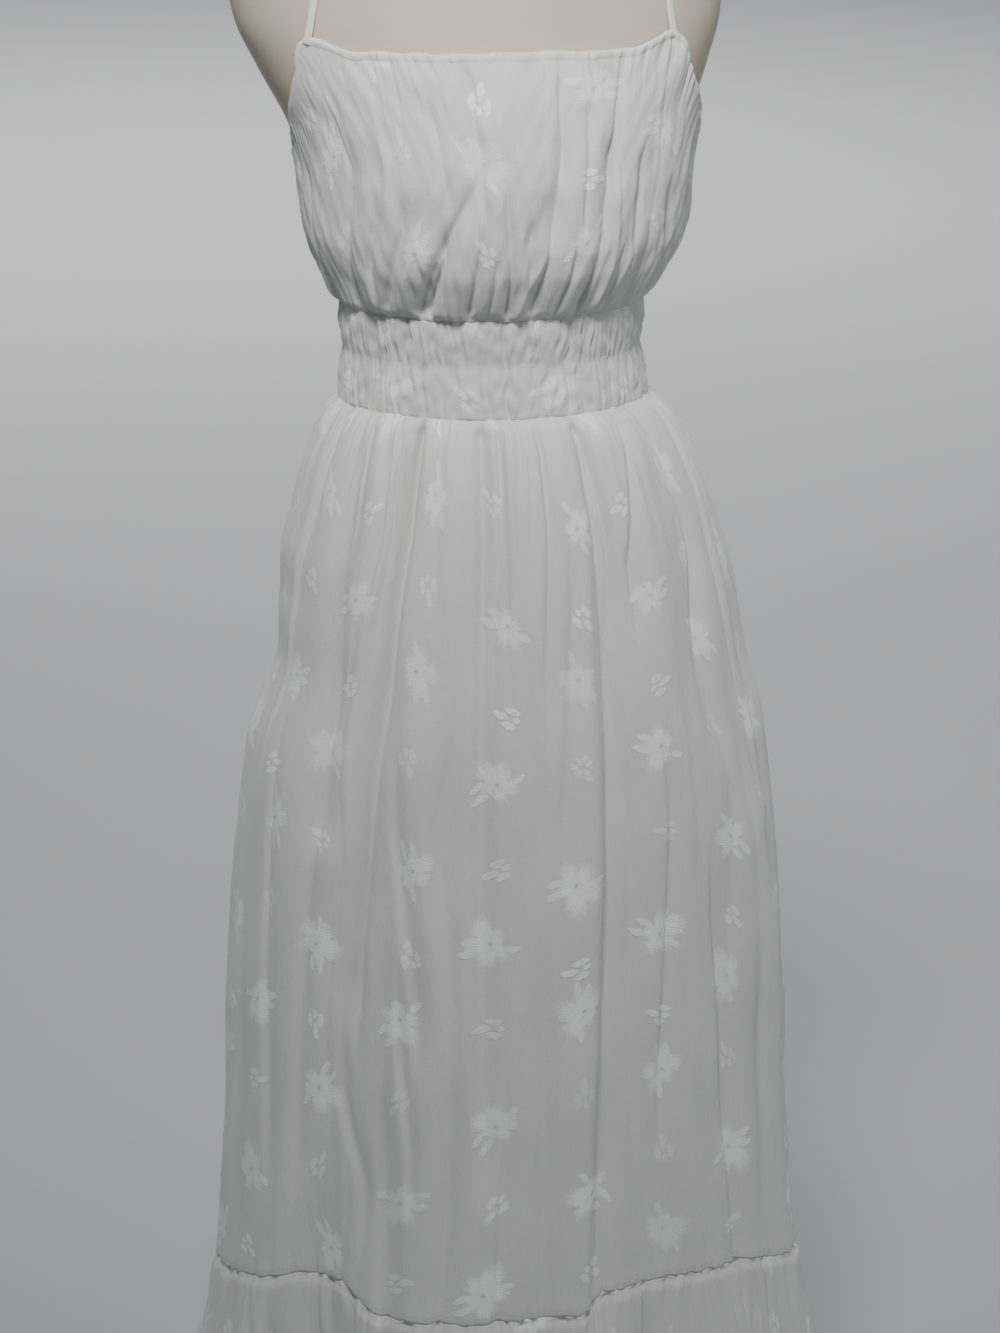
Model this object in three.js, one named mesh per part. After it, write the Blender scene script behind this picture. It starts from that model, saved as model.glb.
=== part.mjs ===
// A strap maxi dress standing on an armless dress form.
// Millimetres, +Z up, the front of the dress faces -Y, the origin is on the floor under the stand.
import * as THREE from "three";

// ---------------------------------------------------------------- driving dimensions
const WALL = 2; // cloth thickness
const SEAM_GAP = 0.3; // clear space between two pieces at a seam
const HEM = 40; // heights of the dress above the floor
const TIER_SEAM = 252;
const WAIST_LOW = 1014;
const WAIST_TOP = 1090;
const UNDERARM = 1206;
const STRAP_WIDTH = 6;
const STRAP_THICKNESS = 2;
const STRAP_ANGLE = 47; // where the straps meet the front edge, in degrees from the centre front
const STRAP_BACK_ANGLE = 140;
const STRAP_STEPS = 32;
const STRAP_PIVOT = 1285; // the height that the strap's path turns about
const STRAP_START = 2; // how far above the edge it starts
const STRAP_LIFT = 1.8; // from the form to the middle of the strap
const STRAP_END_LIFT = 3.4;
const BINDING_HEIGHT = 7;
const BINDING_WALL = 1.2;
const FORM_BOTTOM = 790;
const NECK_TOP = 1500;
const CAP_HEIGHT = 8;
const BASE_RADIUS = 150;
const BASE_HEIGHT = 10;
const HUB_RADIUS = 26;
const HUB_HEIGHT = 46;
const POLE_RADIUS = 12.5;
const COLLAR_RADIUS = 34;
const COLLAR_HEIGHT = 14;
const FORM_SIDES = 40;
const FRONT_COLUMNS = 38;
const BACK_COLUMNS = 30;
const BODICE_ROWS = 8; // the last row lies under the bound edge

// ---------------------------------------------------------------- sections
// Each row is a level section: its height, its half width, its depth before and behind the
// middle plane, and how far its centre lies from x = 0.
const SECTION_COLUMNS = ["height", "halfWidth", "frontDepth", "backDepth", "centreX"];

const FORM_SECTIONS = table(SECTION_COLUMNS, [
  [790, 146, 88, 98, 0],
  [800, 154, 95, 106, 0],
  [830, 163, 101, 115, 0],
  [870, 165, 103, 118, 0],
  [920, 154, 99, 110, 0],
  [980, 124, 88, 90, 0],
  [1014, 112, 83, 82, -2],
  [1050, 108, 80, 78, -3],
  [1100, 118, 88, 82, -3],
  [1150, 134, 101, 86, -3],
  [1190, 144, 107, 88, -3],
  [1230, 156, 105, 89, -5],
  [1270, 171, 98, 89, -7],
  [1310, 184, 88, 87, -10],
  [1350, 187, 79, 84, -11],
  [1380, 181, 72, 80, -11],
  [1400, 169, 66, 76, -11],
  [1418, 142, 60, 71, -11],
  [1432, 108, 56, 66, -11],
  [1446, 79, 53, 61, -11],
  [1462, 62, 50, 56, -11],
  [1480, 56, 48, 52, -11],
  [NECK_TOP, 55, 47, 51, -11],
]);

const BODICE_SECTIONS = table(SECTION_COLUMNS, [
  [WAIST_TOP, 119, 94, 91, -3],
  [1100, 128, 103, 96, -3],
  [1112, 138, 112, 99, -3],
  [1128, 147, 119, 101, -3],
  [1150, 154, 122, 101, -3],
  [1187, 158, 122, 99, -3],
  [UNDERARM, 160, 120, 97, -3],
  [1240, 167, 113, 96, -5],
  [1270, 178, 105, 95, -7],
  [1302, 188, 96, 94, -9],
]);

const WAISTBAND_SECTIONS = table(SECTION_COLUMNS, [
  [WAIST_LOW, 121, 93, 92, -2],
  [1052, 117.5, 91, 88, -3],
  [WAIST_TOP, 119.5, 94, 91, -3],
]);

const SKIRT_SECTIONS = table(SECTION_COLUMNS, [
  [HEM, 284, 192, 200, 6],
  [168, 266, 176, 184, 6],
  [TIER_SEAM, 254, 166, 174, 6],
  [392, 242, 159, 169, 6],
  [576, 232, 154, 164, 6],
  [736, 215, 148, 157, 6],
  [800, 199, 143, 151, 6],
  [872, 185, 136, 143, 6],
  [922, 171, 130, 135, 6],
  [956, 160, 124, 126, 4],
  [988, 146, 114, 114, 2],
  [1005, 134, 104, 103, 0],
  [WAIST_LOW, 122, 94, 93, -2],
]);

// ---------------------------------------------------------------- folds
// A fold runs from its upper to its lower height, and from its upper to its lower angle, in
// degrees from the centre front. It is narrow on its left and wide on its right, or the reverse.
// A trough has a positive depth and a ridge a negative one.
const FOLD_COLUMNS = ["top", "low", "topAngle", "lowAngle", "left", "right", "topDepth", "lowDepth"];

const SKIRT_FOLDS = table(FOLD_COLUMNS, [
  [1000, 640, -33, -36, 5, 5, 4, 9],
  [620, -200, -42, -52, 9, 13, 2, 46],
  [990, 700, -54, -46, 5, 5, 3, 7],
  [990, -200, 22, 13, 3, 8, 4, 10],
  [640, -200, 27, 33, 9, 14, 2, 40],
  [940, 760, 45, 50, 5, 6, 4, 6],
  [790, -200, -86, -82, 15, 14, -10, -8],
  [660, -200, 66, 72, 8, 9, -4, -14],
  [960, -200, 104, 108, 7, 8, 3, 26],
  [980, -200, 136, 131, 6, 7, 3, 30],
  [990, 300, 158, 155, 5, 6, 5, 12],
  [960, -200, 182, 179, 7, 6, 3, 34],
  [980, 420, 208, 205, 6, 5, 5, 10],
  [970, -200, 228, 231, 7, 8, 3, 32],
  [940, -200, 254, 250, 7, 7, 3, 22],
]);

const BODICE_FOLDS = table(FOLD_COLUMNS, [
  [1200, 1100, -10, -30, 4, 5, 4, 7],
  [1260, 1100, -9, -13, 3, 3, 3, 5],
  [1180, 1096, -3, 0, 2.5, 3, 3, 6],
  [1260, 1110, 15, 10, 4, 3, 3, 6],
  [1255, 1100, 30, 29, 4, 4, 3, 5],
  [1200, 1104, -52, -62, 5, 5, 3, 5],
  [1190, 1100, 44, 48, 5, 4, 3, 5],
  [1190, 1100, 118, 120, 5, 5, 2, 5],
  [1190, 1100, 146, 142, 4, 5, 2, 5],
  [1190, 1100, 172, 175, 4, 4, 2, 5],
  [1190, 1100, 203, 200, 5, 4, 2, 5],
  [1190, 1100, 236, 240, 5, 5, 2, 5],
]);

const FOLD_FADE = 50; // a fold dies out over this height beyond its ends
const RUFFLE_COUNT = 19; // ruffles round the whole flounce
const RUFFLE_DEPTH = 7;

// The upper edge of the bodice all round: level in front, raised to a corner under each strap,
// cut down under the arm, and nearly level behind.
const TOP_EDGE = table(["angle", "height"], [
  [0, 1290],
  [34, 1290],
  [43, 1298],
  [STRAP_ANGLE, 1300],
  [51, 1294],
  [57, 1274],
  [64, 1257],
  [72, 1241],
  [80, 1223],
  [90, UNDERARM],
  [112, UNDERARM],
  [126, 1210],
  [STRAP_BACK_ANGLE, 1216],
  [156, 1213],
  [180, 1212],
]);

// ---------------------------------------------------------------- numbers and curves
function table(columns, rows) {
  return rows.map((row) => Object.fromEntries(columns.map((name, i) => [name, row[i]])));
}

/** A smooth curve through a table's rows that never runs past their values. */
function curve(rows, from, to) {
  const sorted = [...rows].sort((p, q) => p[from] - q[from]);
  const steps = sorted.slice(1).map((row, i) => (row[to] - sorted[i][to]) / (row[from] - sorted[i][from]));
  const slopes = sorted.map((_, i) => {
    const before = steps[i - 1] ?? 0;
    const after = steps[i] ?? 0;
    return before * after > 0 ? (2 * before * after) / (before + after) : 0;
  });
  return (at) => {
    const last = sorted.length - 2;
    const found = sorted.findIndex((row) => row[from] > at) - 1;
    const i = found < -1 ? last : Math.min(Math.max(found, 0), last);
    const span = sorted[i + 1][from] - sorted[i][from];
    const t = THREE.MathUtils.clamp((at - sorted[i][from]) / span, 0, 1);
    const rise = t * t * (3 - 2 * t);
    const lean = slopes[i] * t * (1 - t) ** 2 - slopes[i + 1] * t * t * (1 - t);
    return sorted[i][to] + (sorted[i + 1][to] - sorted[i][to]) * rise + span * lean;
  };
}

function sections(rows) {
  return Object.fromEntries(SECTION_COLUMNS.slice(1).map((name) => [name, curve(rows, "height", name)]));
}

const form = sections(FORM_SECTIONS);
const bodice = sections(BODICE_SECTIONS);
const waistband = sections(WAISTBAND_SECTIONS);
const skirt = sections(SKIRT_SECTIONS);
const topEdge = curve(TOP_EDGE, "angle", "height");

/** The point of a section at an angle from the centre front, drawn in towards the middle. */
function sectionPoint(shape, degrees, height, inset) {
  const angle = THREE.MathUtils.degToRad(degrees);
  const depth = Math.cos(angle) > 0 ? shape.frontDepth(height) : shape.backDepth(height);
  return new THREE.Vector3(
    shape.centreX(height) + (shape.halfWidth(height) - inset) * Math.sin(angle),
    -(depth - inset) * Math.cos(angle),
    height,
  );
}

/** How far the folds draw the cloth in at an angle and a height. */
function foldDepth(folds, degrees, height) {
  let depth = 0;
  for (const fold of folds) {
    const along = THREE.MathUtils.clamp((fold.top - height) / (fold.top - fold.low), 0, 1);
    const off = wrapped(degrees - THREE.MathUtils.lerp(fold.topAngle, fold.lowAngle, along));
    const width = off < 0 ? fold.left : fold.right;
    const fadeIn = THREE.MathUtils.smoothstep(fold.top + FOLD_FADE - height, 0, FOLD_FADE);
    const fadeOut = THREE.MathUtils.smoothstep(height - fold.low + FOLD_FADE, 0, FOLD_FADE);
    const deep = THREE.MathUtils.lerp(fold.topDepth, fold.lowDepth, along);
    depth += deep * fadeIn * fadeOut * Math.exp(-((off / width) ** 2));
  }
  return depth;
}

function wrapped(degrees) {
  return THREE.MathUtils.euclideanModulo(degrees + 180, 360) - 180;
}

/** Folds start a little below the upper seam, so that the seam itself stays smooth. */
function awayFrom(seam, height, reach) {
  return THREE.MathUtils.smoothstep(Math.abs(seam - height), 0, reach);
}

// ---------------------------------------------------------------- cloth surfaces
// A surface gives the point at an angle, a share of the way up, and a depth behind its face.
const BINDING_SHARE = 1 - 1 / BODICE_ROWS;

function bodiceHeight(degrees, share) {
  const edge = topEdge(Math.abs(wrapped(degrees)));
  const low = WAIST_TOP + SEAM_GAP;
  const bindingLow = edge - BINDING_HEIGHT;
  return share < BINDING_SHARE
    ? THREE.MathUtils.lerp(low, bindingLow, share / BINDING_SHARE)
    : THREE.MathUtils.lerp(bindingLow, edge, (share - BINDING_SHARE) / (1 - BINDING_SHARE));
}

function bodiceSurface(degrees, share, behind) {
  const height = bodiceHeight(degrees, share);
  const drawn = foldDepth(BODICE_FOLDS, degrees, height) * awayFrom(WAIST_TOP, height, 12);
  return sectionPoint(bodice, degrees, height, drawn + behind);
}

function waistbandSurface(degrees, share, behind) {
  return sectionPoint(waistband, degrees, WAIST_LOW + (WAIST_TOP - WAIST_LOW) * share, behind);
}

function skirtSurface(degrees, share, behind) {
  const height = TIER_SEAM + (WAIST_LOW - SEAM_GAP - TIER_SEAM) * share;
  const drawn = foldDepth(SKIRT_FOLDS, degrees, height) * awayFrom(WAIST_LOW, height, 60);
  return sectionPoint(skirt, degrees, height, drawn + behind);
}

function flounceSurface(degrees, share, behind) {
  const height = HEM + (TIER_SEAM - SEAM_GAP - HEM) * share;
  const uneven = degrees + 5 * Math.sin(THREE.MathUtils.degToRad(3 * degrees + 40));
  const ruffle = RUFFLE_DEPTH * (1 - share) * Math.sin(THREE.MathUtils.degToRad(RUFFLE_COUNT * uneven));
  return sectionPoint(skirt, degrees, height, foldDepth(SKIRT_FOLDS, degrees, height) + ruffle + behind);
}

/** The bound edge lies on the top margin of the bodice. */
function bindingSurface(degrees, share, behind) {
  const up = THREE.MathUtils.lerp(BINDING_SHARE, 1, share);
  return bodiceSurface(degrees, up, behind - BINDING_WALL - SEAM_GAP);
}

// ---------------------------------------------------------------- closed bodies
/** A closed wall between a surface's face and the same surface set back by its thickness. */
function wall(surface, firstAngle, lastAngle, columns, rows, thickness) {
  const points = [];
  const across = columns + 1;
  const layer = across * (rows + 1);
  const shift = (Math.cos(THREE.MathUtils.degToRad((firstAngle + lastAngle) / 2)) > 0 ? -1 : 1) * (SEAM_GAP / 2);
  for (const behind of [0, thickness]) {
    for (let j = 0; j <= rows; j += 1) {
      for (let i = 0; i <= columns; i += 1) {
        const degrees = firstAngle + ((lastAngle - firstAngle) * i) / columns;
        const point = surface(degrees, j / rows, behind);
        points.push(point.x, point.y + shift, point.z);
      }
    }
  }
  const faces = [];
  const quad = (a, b, c, d) => faces.push(a, b, c, a, c, d);
  for (let j = 0; j < rows; j += 1) {
    for (let i = 0; i < columns; i += 1) {
      const a = j * across + i;
      quad(a, a + 1, a + 1 + across, a + across);
      quad(layer + a, layer + a + across, layer + a + 1 + across, layer + a + 1);
    }
    const start = j * across;
    const end = start + columns;
    quad(start, start + across, layer + start + across, layer + start);
    quad(end, layer + end, layer + end + across, end + across);
  }
  for (let i = 0; i < columns; i += 1) {
    const top = rows * across + i;
    quad(i, layer + i, layer + i + 1, i + 1);
    quad(top, top + 1, layer + top + 1, layer + top);
  }
  return geometry(points, faces);
}

/** A closed body through rings of points that run the same way round, with flat ends. */
function loft(rings) {
  const count = rings[0].length;
  const points = rings.flat().flatMap((p) => [p.x, p.y, p.z]);
  const faces = [];
  for (let j = 0; j < rings.length - 1; j += 1) {
    for (let i = 0; i < count; i += 1) {
      const a = j * count + i;
      const b = j * count + ((i + 1) % count);
      faces.push(a, b, b + count, a, b + count, a + count);
    }
  }
  for (const [ring, first, turned] of [[rings[0], 0, true], [rings.at(-1), (rings.length - 1) * count, false]]) {
    const middle = ring.reduce((sum, p) => sum.add(p), new THREE.Vector3()).divideScalar(count);
    const centre = points.length / 3;
    points.push(middle.x, middle.y, middle.z);
    for (let i = 0; i < count; i += 1) {
      const a = first + i;
      const b = first + ((i + 1) % count);
      faces.push(centre, turned ? b : a, turned ? a : b);
    }
  }
  return geometry(points, faces);
}

function geometry(points, faces) {
  const made = new THREE.BufferGeometry();
  made.setAttribute("position", new THREE.Float32BufferAttribute(points, 3));
  made.setIndex(faces);
  made.computeVertexNormals();
  return made;
}

/** A closed turned body from a profile of radius and height that starts and ends on the axis. */
function turned(profile, segments) {
  const made = new THREE.LatheGeometry(profile.map(([r, z]) => new THREE.Vector2(r, z)), segments);
  return made.rotateX(Math.PI / 2);
}

// ---------------------------------------------------------------- dress form and stand
function ringOf(shape, height, count) {
  return Array.from({ length: count }, (_, i) => sectionPoint(shape, (360 * i) / count, height, 0));
}

function torso() {
  return loft(FORM_SECTIONS.map((row) => ringOf(form, row.height, FORM_SIDES)));
}

function neckCap() {
  const low = NECK_TOP + SEAM_GAP;
  const levels = [
    [low, 2],
    [low + 1, 0],
    [low + CAP_HEIGHT - 2, 0],
    [low + CAP_HEIGHT, 3],
  ];
  return loft(levels.map(([height, inset]) => Array.from({ length: FORM_SIDES }, (_, i) => {
    const point = sectionPoint(form, (360 * i) / FORM_SIDES, NECK_TOP, inset);
    return point.setZ(height);
  })));
}

function collar() {
  const top = FORM_BOTTOM - SEAM_GAP;
  return turned([
    [0, top - COLLAR_HEIGHT],
    [COLLAR_RADIUS - 8, top - COLLAR_HEIGHT],
    [COLLAR_RADIUS, top - COLLAR_HEIGHT + 6],
    [COLLAR_RADIUS, top],
    [0, top],
  ], 32);
}

function pole() {
  const low = BASE_HEIGHT + HUB_HEIGHT + 2 * SEAM_GAP;
  const top = FORM_BOTTOM - COLLAR_HEIGHT - 2 * SEAM_GAP;
  return turned([[0, low], [POLE_RADIUS, low], [POLE_RADIUS, top], [0, top]], 24);
}

function hub() {
  const low = BASE_HEIGHT + SEAM_GAP;
  return turned([
    [0, low],
    [HUB_RADIUS, low],
    [HUB_RADIUS - 6, low + 10],
    [POLE_RADIUS + 4, low + HUB_HEIGHT],
    [0, low + HUB_HEIGHT],
  ], 32);
}

function base() {
  return turned([
    [0, 0],
    [BASE_RADIUS, 0],
    [BASE_RADIUS, BASE_HEIGHT - 3],
    [BASE_RADIUS - 3, BASE_HEIGHT],
    [0, BASE_HEIGHT],
  ], 64);
}

// ---------------------------------------------------------------- straps
/** Below 1 inside the dress form, 1 on its surface and above 1 outside. */
function formLevel(point) {
  const depth = point.y < 0 ? form.frontDepth(point.z) : form.backDepth(point.z);
  const x = (point.x - form.centreX(point.z)) / form.halfWidth(point.z);
  return x * x + (point.y / depth) ** 2;
}

/** The form's surface, straight out from a point inside it. */
function formSurface(inside, direction) {
  let near = 0;
  let far = 200;
  for (let i = 0; i < 30; i += 1) {
    const middle = (near + far) / 2;
    const within = formLevel(inside.clone().addScaledVector(direction, middle)) < 1;
    near = within ? middle : near;
    far = within ? far : middle;
  }
  return inside.clone().addScaledVector(direction, near);
}

function formNormal(point) {
  const slope = ["x", "y", "z"].map((axis) => {
    const ahead = point.clone();
    const behind = point.clone();
    ahead[axis] += 1;
    behind[axis] -= 1;
    return formLevel(ahead) - formLevel(behind);
  });
  return new THREE.Vector3(...slope).normalize();
}

/** A strap runs from the front edge over the shoulder to the back edge, flat on the form. */
function strap(side) {
  const frontAt = bodiceSurface(side * STRAP_ANGLE, 1, WALL / 2);
  const backAt = bodiceSurface(side * STRAP_BACK_ANGLE, 1, WALL / 2);
  const frontTurn = Math.atan2(frontAt.z + STRAP_START - STRAP_PIVOT, -frontAt.y);
  const backTurn = Math.PI - Math.atan2(backAt.z + STRAP_START - STRAP_PIVOT, backAt.y);
  const path = Array.from({ length: STRAP_STEPS + 1 }, (_, i) => {
    const share = i / STRAP_STEPS;
    const turn = THREE.MathUtils.lerp(frontTurn, backTurn, share);
    const direction = new THREE.Vector3(0, -Math.cos(turn), Math.sin(turn));
    const inside = new THREE.Vector3(THREE.MathUtils.lerp(frontAt.x, backAt.x, share), 0, STRAP_PIVOT);
    const on = formSurface(inside, direction);
    const out = formNormal(on);
    const nearEnd = Math.max(1 - share * 7, 1 - (1 - share) * 7, 0);
    return { at: on.addScaledVector(out, THREE.MathUtils.lerp(STRAP_LIFT, STRAP_END_LIFT, nearEnd)), out };
  });
  const rings = path.map(({ at, out }, i) => {
    const along = path[Math.min(i + 1, STRAP_STEPS)].at.clone().sub(path[Math.max(i - 1, 0)].at).normalize();
    const across = along.clone().cross(out).normalize();
    const corner = (u, v) => at.clone()
      .addScaledVector(across, (u * STRAP_WIDTH) / 2)
      .addScaledVector(out, (v * STRAP_THICKNESS) / 2);
    return [corner(-1, -1), corner(-1, 1), corner(1, 1), corner(1, -1)];
  });
  return loft(rings);
}

// ---------------------------------------------------------------- the model
const cloth = { color: 0xe9ebea, roughness: 0.75, metalness: 0 };
const trim = { color: 0xe8e4d8, roughness: 0.8, metalness: 0 };
const skin = { color: 0xb8ac9c, roughness: 0.45, metalness: 0 };
const metal = { color: 0x8c8c8c, roughness: 0.4, metalness: 0.8 };

const dress = new THREE.Group();

function add(name, shape, finish) {
  const mesh = new THREE.Mesh(shape, new THREE.MeshStandardMaterial({ ...finish, side: THREE.DoubleSide }));
  mesh.name = name;
  dress.add(mesh);
}

/** Adds a piece's front and back, which meet at the side seams. */
function addFrontAndBack(name, surface, rows, thickness, finish) {
  add(`${name}_front`, wall(surface, -90, 90, FRONT_COLUMNS, rows, thickness), finish);
  add(`${name}_back`, wall(surface, 90, 270, BACK_COLUMNS, rows, thickness), finish);
}

addFrontAndBack("bodice", bodiceSurface, BODICE_ROWS, WALL, cloth);
addFrontAndBack("neck_binding", bindingSurface, 1, BINDING_WALL, trim);
addFrontAndBack("waistband", waistbandSurface, 2, WALL, cloth);
addFrontAndBack("skirt", skirtSurface, 11, WALL, cloth);
addFrontAndBack("flounce", flounceSurface, 4, WALL, cloth);
add("strap_left", strap(1), trim);
add("strap_right", strap(-1), trim);
add("form_torso", torso(), skin);
add("form_neck_cap", neckCap(), skin);
add("form_collar", collar(), metal);
add("stand_pole", pole(), metal);
add("stand_hub", hub(), metal);
add("stand_base", base(), metal);

export default dress;
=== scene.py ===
"""A strap maxi dress on an armless dress form, laid out as an add-on and run as a script.

Metres, +Z up, with the front of the dress facing -Y. Angles round the dress are in degrees
from the centre front, towards the wearer's left.
"""

import math

import bmesh
import bpy
import numpy as np
from mathutils import Matrix, Vector


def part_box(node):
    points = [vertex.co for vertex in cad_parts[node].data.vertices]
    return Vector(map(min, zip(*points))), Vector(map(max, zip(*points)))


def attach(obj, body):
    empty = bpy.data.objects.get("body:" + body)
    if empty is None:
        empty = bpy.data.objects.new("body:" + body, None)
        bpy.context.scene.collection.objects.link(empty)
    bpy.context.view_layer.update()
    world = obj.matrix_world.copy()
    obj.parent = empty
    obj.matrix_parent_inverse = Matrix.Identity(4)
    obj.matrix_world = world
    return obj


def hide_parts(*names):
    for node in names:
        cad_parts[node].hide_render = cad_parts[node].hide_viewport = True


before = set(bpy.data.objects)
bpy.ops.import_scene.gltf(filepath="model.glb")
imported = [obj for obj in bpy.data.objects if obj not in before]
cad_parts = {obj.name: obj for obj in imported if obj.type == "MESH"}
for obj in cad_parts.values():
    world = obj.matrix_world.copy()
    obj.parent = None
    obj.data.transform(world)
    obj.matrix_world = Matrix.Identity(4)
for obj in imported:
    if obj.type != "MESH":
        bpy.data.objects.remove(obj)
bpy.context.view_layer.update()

bl_info = {
    "name": "Maxi dress on a dress form",
    "version": (1, 0, 0),
    "blender": (4, 5, 0),
    "location": "3D View > Sidebar > Dress",
    "description": "Builds the finished surfaces of a gathered maxi dress and its dress form",
    "category": "Add Mesh",
}

MM = 0.001
ALL_ROUND = 360.0


def level(node, end):
    """The lowest (0) or highest (1) point of a CAD node, in millimetres."""
    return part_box(node)[end][2] / MM


HEM = level("flounce_front", 0)
TIER_SEAM = level("skirt_front", 0)
WAIST_LOW = level("waistband_front", 0)
WAIST_TOP = level("waistband_front", 1)
NECK_TOP = level("form_torso", 1)
FORM_BOTTOM = level("form_torso", 0)


# ---- tables and curves
def table(columns, *rows):
    """A table as one array for each named column."""
    return {name: np.array(values, float) for name, values in zip(columns.split(), zip(*rows))}


# Level sections, from low to high, in millimetres.
SECTION = "height half_width front back centre"
FORM = table(
    SECTION,
    (790, 146, 88, 98, 0), (800, 154, 95, 106, 0), (830, 163, 101, 115, 0), (870, 165, 103, 118, 0),
    (920, 154, 99, 110, 0), (980, 124, 88, 90, 0), (1014, 112, 83, 82, -2), (1050, 108, 80, 78, -3),
    (1100, 118, 88, 82, -3), (1150, 134, 101, 86, -3), (1190, 144, 107, 88, -3),
    (1230, 156, 105, 89, -5), (1270, 173, 98, 89, -9), (1310, 187, 88, 87, -13),
    (1350, 191, 79, 84, -15), (1380, 185, 72, 80, -15), (1400, 172, 66, 76, -14),
    (1418, 142, 60, 71, -11), (1432, 108, 56, 66, -11), (1446, 79, 53, 61, -11),
    (1462, 62, 50, 56, -11), (1480, 56, 48, 52, -11), (1500, 55, 47, 51, -11),
)
BODICE = table(
    SECTION,
    (1090, 119, 94, 91, -3), (1100, 128, 103, 96, -3), (1112, 136, 112, 99, -1.5),
    (1128, 144, 119, 101, -0.5), (1150, 151, 122, 101, 0), (1187, 155, 122, 99, 0),
    (1206, 157, 120, 97, -0.5), (1240, 165, 113, 96, -3), (1270, 177, 105, 95, -6),
    (1302, 188, 96, 94, -9),
)
WAISTBAND = table(
    SECTION,
    (1014, 121, 93, 92, -2), (1052, 117.5, 91, 88, -3), (1090, 119.5, 94, 91, -3),
)
SKIRT = table(
    SECTION,
    (40, 284, 192, 200, 6), (168, 266, 176, 184, 6), (252, 254, 166, 174, 6),
    (392, 242, 159, 169, 6), (576, 232, 154, 164, 6), (736, 215, 148, 157, 6),
    (800, 199, 143, 151, 6), (872, 185, 136, 143, 6), (922, 171, 130, 135, 6),
    (956, 160, 124, 126, 4), (988, 146, 114, 114, 2), (1005, 134, 104, 103, 0),
    (1014, 122, 94, 93, -2),
)
TOP_EDGE = table(
    "angle height",
    (0, 1290), (34, 1290), (43, 1298), (47, 1300), (51, 1294), (57, 1274), (64, 1257), (72, 1241),
    (80, 1223), (90, 1206), (112, 1206), (126, 1210), (140, 1216), (156, 1213), (180, 1212),
)

# A fold runs from its upper to its lower height in millimetres and from its upper to its lower
# angle. left and right are its widths in degrees; a trough is positive and a ridge negative.
FOLD = "top low top_angle low_angle left right top_depth low_depth"
SKIRT_FOLDS = table(
    FOLD,
    # the large folds of the whole skirt
    (1000, 560, -33, -38, 5, 5, 5, 3), (620, -200, -42, -52, 9, 13, 2, 46),
    (990, 700, -54, -46, 5, 5, 3, 7), (990, -200, 22, 13, 3, 8, 4, 10),
    (640, -200, 27, 33, 9, 14, 2, 40), (940, 760, 45, 50, 5, 6, 4, 6),
    (850, 790, -88, -88, 30, 34, 8, 8), (800, 720, -88, -88, 30, 34, 6, 0),
    (740, -200, -88, -88, 30, 34, 4, 3), (660, -200, 66, 72, 8, 9, -4, -14),
    (960, -200, 104, 108, 7, 8, 3, 26), (980, -200, 136, 131, 6, 7, 3, 30),
    (990, 300, 158, 155, 5, 6, 5, 12), (960, -200, 182, 179, 7, 6, 3, 34),
    (980, 420, 208, 205, 6, 5, 5, 10), (970, -200, 228, 231, 7, 8, 3, 32),
    (940, -200, 254, 250, 7, 7, 3, 22),
)
SKIRT_CREASES = table(
    FOLD,
    # front
    (1010, 430, -11, -8, 2.0, 3.4, 10, 9), (1002, 850, -5, -7, 0.8, 1.6, 5, 3),
    (1008, 560, -31, -36, 3.2, 1.4, 12, 10), (1004, 950, -50, -48, 0.9, 2, 5, 3),
    (990, 820, 8, 5, 0.8, 2, 5, 3), (1000, 290, 22, 14, 1.5, 3.2, 9, 8),
    (998, 900, 39, 29, 0.9, 2, 5, 4), (900, 810, 53, 48, 0.8, 3, 5, 3),
    (700, 540, -28, -22, 0.9, 3, 5, 5), (520, 420, -26, -23, 0.8, 2, 5, 5),
    (410, 250, -30, -28, 0.7, 2.6, 6, 6), (460, 380, -40, -34, 0.8, 2.4, 5, 5),
    (430, 270, -15, -17, 0.8, 2.4, 4, 6), (430, 270, -4, -6, 0.8, 2.2, 4, 6),
    (640, 500, 60, 69, 5, 5, -6, -5), (880, 640, 62, 66, 0.9, 3, 4, 4),
    (980, 780, -68, -72, 0.9, 3, 5, 4), (700, 420, -64, -60, 0.9, 3, 4, 4),
    (560, 260, 4, 3, 1.5, 4, 3, 8), (600, 260, 44, 50, 1.2, 4, 4, 8),
    (760, 420, -47, -52, 1.2, 2.6, 4, 5), (690, 470, 33, 30, 1.0, 2.6, 4, 5),
    (880, 700, 12, 8, 1.2, 3, 3, 3),
    # back and sides
    (1004, 600, 118, 122, 0.9, 2.8, 5, 5), (1000, 780, 144, 147, 0.8, 2, 5, 4),
    (990, 520, 168, 166, 2.4, 0.8, 5, 6), (1006, 700, 194, 191, 0.8, 2.4, 6, 4),
    (980, 560, 218, 216, 2.6, 0.9, 5, 5), (1002, 820, 238, 242, 0.8, 2, 5, 4),
    (700, 300, 116, 118, 1.0, 3, 4, 7), (640, 260, 145, 143, 3, 1.0, 4, 7),
    (600, 260, 196, 194, 1.0, 4, 4, 8), (660, 260, 242, 244, 0.9, 3, 4, 6),
    (960, 700, 96, 93, 1.0, 2.4, 4, 4), (900, 560, 180, 178, 1.0, 2.6, 4, 4),
)
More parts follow.
